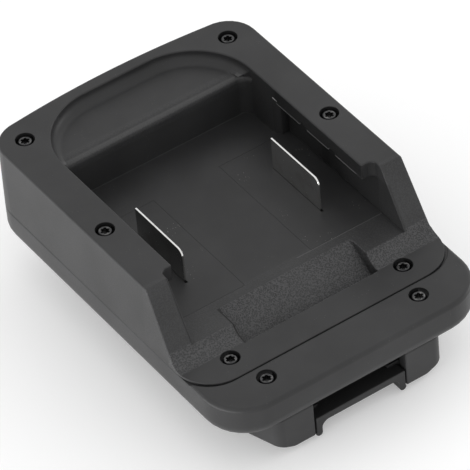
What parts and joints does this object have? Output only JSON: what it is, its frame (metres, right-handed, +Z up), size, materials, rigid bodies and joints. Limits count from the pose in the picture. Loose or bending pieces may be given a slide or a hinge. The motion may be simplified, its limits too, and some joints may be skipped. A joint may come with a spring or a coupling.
{
  "type": "tool battery adapter",
  "caption": "Slide-on battery adapter: open rail pocket with two blade contacts, catch recess and finger scoop on top, and a grooved tool foot with a sprung release latch below.",
  "frame": {"origin": "On the plane the adapter stands on, below the middle of its bounding box.", "axes": "+X to the right as seen from the flange end, +Y along the case to its closed rear end, +Z up to the rim of the battery pocket."},
  "size_m": [0.0824, 0.1158, 0.044],
  "materials": {
    "housing_plastic": "moulded, fine matt grain",
    "foot_plastic": "moulded, fine matt grain",
    "carrier_plastic": "moulded, smooth matt",
    "terminal_plastic": "moulded, satin",
    "latch_plastic": "moulded, satin",
    "plated_contact": "nickel plated sheet",
    "clip_brass": "bare spring brass",
    "wire_red": "soft insulation",
    "wire_black": "soft insulation",
    "spring_steel": "bright drawn wire",
    "black_screw": "black oxide, glossy socket edges",
    "inner_screw": "zinc plated"
  },
  "bodies": {
    "case": {"upper_housing": "housing_plastic", "lower_housing": "housing_plastic", "tool_foot": "foot_plastic", "left_contact_carrier": "carrier_plastic", "right_contact_carrier": "carrier_plastic", "left_blade": "plated_contact", "right_blade": "plated_contact", "terminal_block": "terminal_plastic", "positive_clip": "clip_brass", "negative_clip": "clip_brass", "positive_wire": "wire_red", "negative_wire": "wire_black", "rear_rim_screws": "black_screw", "mid_rim_screws": "black_screw", "deck_screws": "black_screw", "flange_screws": "black_screw", "foot_screws": "inner_screw", "carrier_screws": "inner_screw", "terminal_block_screws": "inner_screw"},
    "latch": {"latch_button": "latch_plastic", "left_latch_spring": "spring_steel", "right_latch_spring": "spring_steel"}
  },
  "joints": [
    {"name": "latch_slide", "type": "slide", "parent": "case", "child": "latch", "axis": [0, 0, 1], "range_m": [0, 0.004], "stiffness_N_per_m": 500, "springref_m": -0.002, "deforming": ["left_latch_spring", "right_latch_spring"]}
  ]
}
